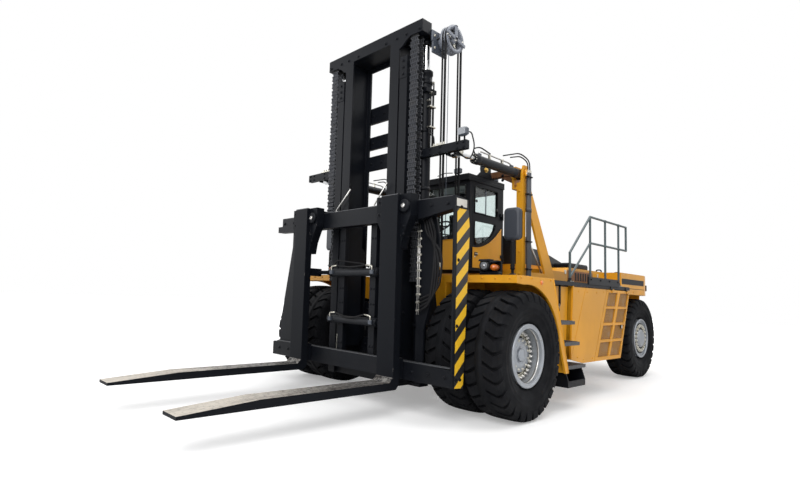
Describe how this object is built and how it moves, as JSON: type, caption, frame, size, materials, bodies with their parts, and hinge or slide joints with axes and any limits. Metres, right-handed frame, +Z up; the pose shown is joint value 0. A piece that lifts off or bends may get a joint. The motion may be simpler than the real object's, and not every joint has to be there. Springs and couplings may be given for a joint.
{
  "type": "heavy forklift truck",
  "caption": "Counterbalanced heavy forklift truck with twin front wheels, two-stage mast, shifting forks, rear cab and steered rear axle.",
  "frame": {"origin": "on the floor at the middle of the length with forks, on the centre plane", "axes": "+Z up, -Y towards the forks, +X towards the driver's left side"},
  "size_m": [4.41, 11.748, 5.4798],
  "materials": {
    "yellow_paint": "gloss enamel",
    "black_paint": "satin enamel",
    "grey_paint": "satin enamel",
    "steel": "worn bare steel",
    "chromed_steel": "polished",
    "tyre_rubber": "matt",
    "hose_rubber": "matt",
    "glass": "clear, slightly green",
    "seat_cover": "woven",
    "plastic": "fine grain"
  },
  "bodies": {
    "chassis": {"chassis_frame": "yellow_paint", "drive_axle": "grey_paint", "steer_axle": "grey_paint", "tilt_towers": "yellow_paint", "cab_frame": "black_paint", "cab_windows": "glass", "operator_seat": "seat_cover", "steering_console": "plastic", "front_fenders": "yellow_paint", "access_steps": "yellow_paint", "side_panels": "yellow_paint", "deck_plate": "yellow_paint", "engine_block": "grey_paint", "engine_hood": "yellow_paint", "counterweight": "yellow_paint", "handrails": "grey_paint", "mirrors_and_lamps": "black_paint"},
    "front_wheels_left": {"front_tyres_left": "tyre_rubber", "front_rims_left": "yellow_paint"},
    "front_wheels_right": {"front_tyres_right": "tyre_rubber", "front_rims_right": "yellow_paint"},
    "knuckle_left": {"steer_knuckle_left": "grey_paint"},
    "knuckle_right": {"steer_knuckle_right": "grey_paint"},
    "rear_wheel_left": {"rear_tyre_left": "tyre_rubber", "rear_rim_left": "yellow_paint"},
    "rear_wheel_right": {"rear_tyre_right": "tyre_rubber", "rear_rim_right": "yellow_paint"},
    "mast": {"outer_mast": "black_paint", "lift_cylinders": "black_paint"},
    "lifting_mast": {"inner_mast": "black_paint", "lift_rods": "chromed_steel", "lift_chains": "steel", "hose_pulley": "grey_paint", "mast_hoses": "hose_rubber"},
    "fork_carriage": {"carriage": "black_paint", "fork_cylinders": "black_paint"},
    "fork_left": {"fork_left": "steel"},
    "fork_right": {"fork_right": "steel"},
    "tilt_barrel_left": {"tilt_cylinder_left": "grey_paint"},
    "tilt_barrel_right": {"tilt_cylinder_right": "grey_paint"},
    "tilt_shaft_left": {"tilt_rod_left": "chromed_steel"},
    "tilt_shaft_right": {"tilt_rod_right": "chromed_steel"},
    "cab_door": {"cab_door": "black_paint", "cab_door_windows": "glass"},
    "grille_left": {"grille_door_left": "yellow_paint"},
    "grille_right": {"grille_door_right": "yellow_paint"}
  },
  "joints": [
    {"name": "front_wheels_left_spin", "type": "hinge", "parent": "chassis", "child": "front_wheels_left", "pos_m": [1.665, -1.626, 0.835], "axis": [1, 0, 0], "continuous": true},
    {"name": "steering_left", "type": "hinge", "parent": "chassis", "child": "knuckle_left", "pos_m": [0.9, 4.424, 0.835], "axis": [0, 0, 1], "range_deg": [-50, 50]},
    {"name": "rear_wheel_left_spin", "type": "hinge", "parent": "knuckle_left", "child": "rear_wheel_left", "pos_m": [1.3, 4.424, 0.835], "axis": [1, 0, 0], "continuous": true},
    {"name": "front_wheels_right_spin", "type": "hinge", "parent": "chassis", "child": "front_wheels_right", "pos_m": [-1.665, -1.626, 0.835], "axis": [1, 0, 0], "continuous": true},
    {"name": "steering_right", "type": "hinge", "parent": "chassis", "child": "knuckle_right", "pos_m": [-0.9, 4.424, 0.835], "axis": [0, 0, 1], "range_deg": [-50, 50]},
    {"name": "rear_wheel_right_spin", "type": "hinge", "parent": "knuckle_right", "child": "rear_wheel_right", "pos_m": [-1.3, 4.424, 0.835], "axis": [1, 0, 0], "continuous": true},
    {"name": "mast_tilt", "type": "hinge", "parent": "chassis", "child": "mast", "pos_m": [0, -1.926, 0.62], "axis": [1, 0, 0], "range_deg": [-7, 5]},
    {"name": "mast_lift", "type": "slide", "parent": "mast", "child": "lifting_mast", "axis": [0, 0, 1], "range_m": [-0.135, 1.85]},
    {"name": "carriage_lift", "type": "slide", "parent": "lifting_mast", "child": "fork_carriage", "axis": [0, 0, 1], "range_m": [-0.135, 1.85]},
    {"name": "fork_shift_left", "type": "slide", "parent": "fork_carriage", "child": "fork_left", "axis": [1, 0, 0], "range_m": [-0.3, 0.35]},
    {"name": "fork_shift_right", "type": "slide", "parent": "fork_carriage", "child": "fork_right", "axis": [-1, 0, 0], "range_m": [-0.3, 0.35]},
    {"name": "tilt_barrel_left_swing", "type": "hinge", "parent": "chassis", "child": "tilt_barrel_left", "pos_m": [1.35, -0.366, 3.545], "axis": [1, 0, 0], "range_deg": [-2, 2]},
    {"name": "tilt_rod_left_stroke", "type": "slide", "parent": "tilt_barrel_left", "child": "tilt_shaft_left", "axis": [0, -1, 0], "range_m": [-0.37, 0.27]},
    {"name": "tilt_barrel_right_swing", "type": "hinge", "parent": "chassis", "child": "tilt_barrel_right", "pos_m": [-1.35, -0.366, 3.545], "axis": [1, 0, 0], "range_deg": [-2, 2]},
    {"name": "tilt_rod_right_stroke", "type": "slide", "parent": "tilt_barrel_right", "child": "tilt_shaft_right", "axis": [0, -1, 0], "range_m": [-0.37, 0.27]},
    {"name": "cab_door_hinge", "type": "hinge", "parent": "chassis", "child": "cab_door", "pos_m": [0.804, 0.056, 2.7], "axis": [0, 0, 1], "range_deg": [0, 36]},
    {"name": "grille_door_left_hinge", "type": "hinge", "parent": "chassis", "child": "grille_left", "pos_m": [1.912, 2.174, 1.79], "axis": [0, -1, 0], "range_deg": [0, 75]},
    {"name": "grille_door_right_hinge", "type": "hinge", "parent": "chassis", "child": "grille_right", "pos_m": [-1.912, 2.174, 1.79], "axis": [0, 1, 0], "range_deg": [0, 75]}
  ],
  "couplings": [
    {"joint": "carriage_lift", "follows": "mast_lift", "ratio": 1},
    {"joint": "steering_right", "follows": "steering_left", "ratio": 1},
    {"joint": "tilt_barrel_left_swing", "follows": "mast_tilt", "ratio": 0.078},
    {"joint": "tilt_rod_left_stroke", "follows": "mast_tilt", "m_per_rad": 2.92},
    {"joint": "tilt_barrel_right_swing", "follows": "mast_tilt", "ratio": 0.078},
    {"joint": "tilt_rod_right_stroke", "follows": "mast_tilt", "m_per_rad": 2.92}
  ]
}
